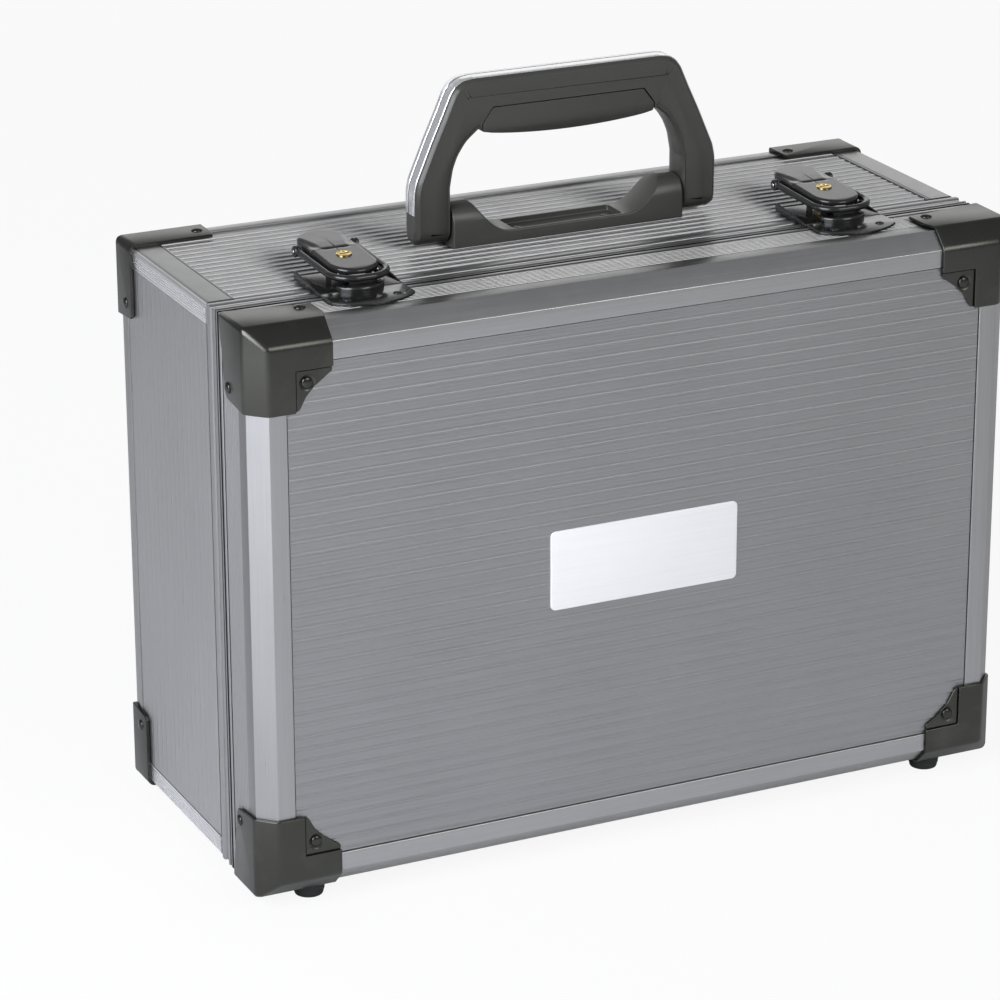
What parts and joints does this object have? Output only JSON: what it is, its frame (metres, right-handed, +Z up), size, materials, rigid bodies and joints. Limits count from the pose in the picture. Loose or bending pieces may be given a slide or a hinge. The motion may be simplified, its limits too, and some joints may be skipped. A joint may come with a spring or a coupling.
{
  "type": "hard tool case",
  "caption": "Ribbed metal tool case standing on rubber feet, with a shallow hinged front lid, dark corner guards, lever latches with key locks and a folding carrying handle.",
  "frame": {"origin": "middle of the bounding box at the floor, under the feet", "axes": "+X to the right seen from the lid, -Y out of the lid's face, +Y to the back, +Z up to the handle"},
  "size_m": [0.4668, 0.196, 0.426],
  "materials": {
    "ribbed_aluminium": "satin anodised, finely ribbed",
    "anodised_profile": "brushed, clear anodised",
    "guard_metal": "dark grey satin",
    "dark_rivet": "dark nickel",
    "steel": "zinc plated",
    "black_hardware": "gloss black",
    "black_rubber": "matte",
    "handle_plastic": "dark grey satin",
    "pad_plastic": "dark grey satin",
    "silver_inlay": "silver satin",
    "label_metal": "light satin",
    "brass_plug": "worn brass",
    "dark_lining": "thin black felt on board"
  },
  "bodies": {
    "base": {"back_panel": "ribbed_aluminium", "base_top_panel": "ribbed_aluminium", "base_bottom_panel": "ribbed_aluminium", "base_left_panel": "ribbed_aluminium", "base_right_panel": "ribbed_aluminium", "corner_bar_top_left": "anodised_profile", "corner_bar_top_right": "anodised_profile", "corner_bar_bottom_left": "anodised_profile", "corner_bar_bottom_right": "anodised_profile", "rear_edge_top": "anodised_profile", "rear_edge_bottom": "anodised_profile", "rear_edge_left": "anodised_profile", "rear_edge_right": "anodised_profile", "base_rim": "anodised_profile", "seal": "black_rubber", "rear_guard_top_left": "guard_metal", "rear_guard_top_right": "guard_metal", "rear_guard_bottom_left": "guard_metal", "rear_guard_bottom_right": "guard_metal", "base_rivets": "dark_rivet", "hardware_rivets": "black_hardware", "rear_feet": "black_rubber", "handle_bracket": "handle_plastic", "handle_pins": "steel", "latch_plate_left": "black_hardware", "latch_plate_right": "black_hardware", "lever_pins": "steel", "hinge_leaves_base": "steel", "hinge_pins": "steel", "base_lining": "dark_lining"},
    "lid": {"front_panel": "ribbed_aluminium", "lid_edge_top": "anodised_profile", "lid_edge_bottom": "anodised_profile", "lid_edge_left": "anodised_profile", "lid_edge_right": "anodised_profile", "lid_rim": "anodised_profile", "front_guard_top_left": "guard_metal", "front_guard_top_right": "guard_metal", "front_guard_bottom_left": "guard_metal", "front_guard_bottom_right": "guard_metal", "lid_rivets": "dark_rivet", "catch_rivets": "black_hardware", "label_plate": "label_metal", "catch_left": "black_hardware", "catch_right": "black_hardware", "front_feet": "black_rubber", "hinge_leaves_lid": "steel", "lid_lining": "dark_lining"},
    "handle": {"handle_body": "handle_plastic", "handle_pad": "pad_plastic", "handle_inlay": "silver_inlay"},
    "lever_left": {"lever_left": "black_hardware", "bail_pin_left": "black_hardware"},
    "lever_right": {"lever_right": "black_hardware", "bail_pin_right": "black_hardware"},
    "bail_left": {"bail_left": "black_hardware"},
    "bail_right": {"bail_right": "black_hardware"},
    "lock_left": {"lock_plug_left": "brass_plug"},
    "lock_right": {"lock_plug_right": "brass_plug"}
  },
  "joints": [
    {"name": "lid_hinge", "type": "hinge", "parent": "base", "child": "lid", "pos_m": [0, -0.05, 0.0065], "axis": [1, 0, 0], "range_deg": [0, 100]},
    {"name": "handle_pivot", "type": "hinge", "parent": "base", "child": "handle", "pos_m": [0, 0.0095, 0.344], "axis": [1, 0, 0], "range_deg": [-90, 90]},
    {"name": "lever_pivot_left", "type": "hinge", "parent": "base", "child": "lever_left", "pos_m": [-0.1475, -0.0447, 0.3412], "axis": [1, 0, 0], "range_deg": [0, 80]},
    {"name": "bail_pivot_left", "type": "hinge", "parent": "lever_left", "child": "bail_left", "pos_m": [-0.1475, -0.002, 0.343], "axis": [1, 0, 0], "range_deg": [-48, 0]},
    {"name": "lock_turn_left", "type": "hinge", "parent": "lever_left", "child": "lock_left", "pos_m": [-0.1475, -0.027, 0.34], "axis": [0, 0, 1], "range_deg": [0, 90]},
    {"name": "lever_pivot_right", "type": "hinge", "parent": "base", "child": "lever_right", "pos_m": [0.1475, -0.0447, 0.3412], "axis": [1, 0, 0], "range_deg": [0, 80]},
    {"name": "bail_pivot_right", "type": "hinge", "parent": "lever_right", "child": "bail_right", "pos_m": [0.1475, -0.002, 0.343], "axis": [1, 0, 0], "range_deg": [-48, 0]},
    {"name": "lock_turn_right", "type": "hinge", "parent": "lever_right", "child": "lock_right", "pos_m": [0.1475, -0.027, 0.34], "axis": [0, 0, 1], "range_deg": [0, 90]}
  ],
  "couplings": [
    {"joint": "bail_pivot_left", "follows": "lever_pivot_left", "ratio": -0.6},
    {"joint": "bail_pivot_right", "follows": "lever_pivot_right", "ratio": -0.6}
  ]
}
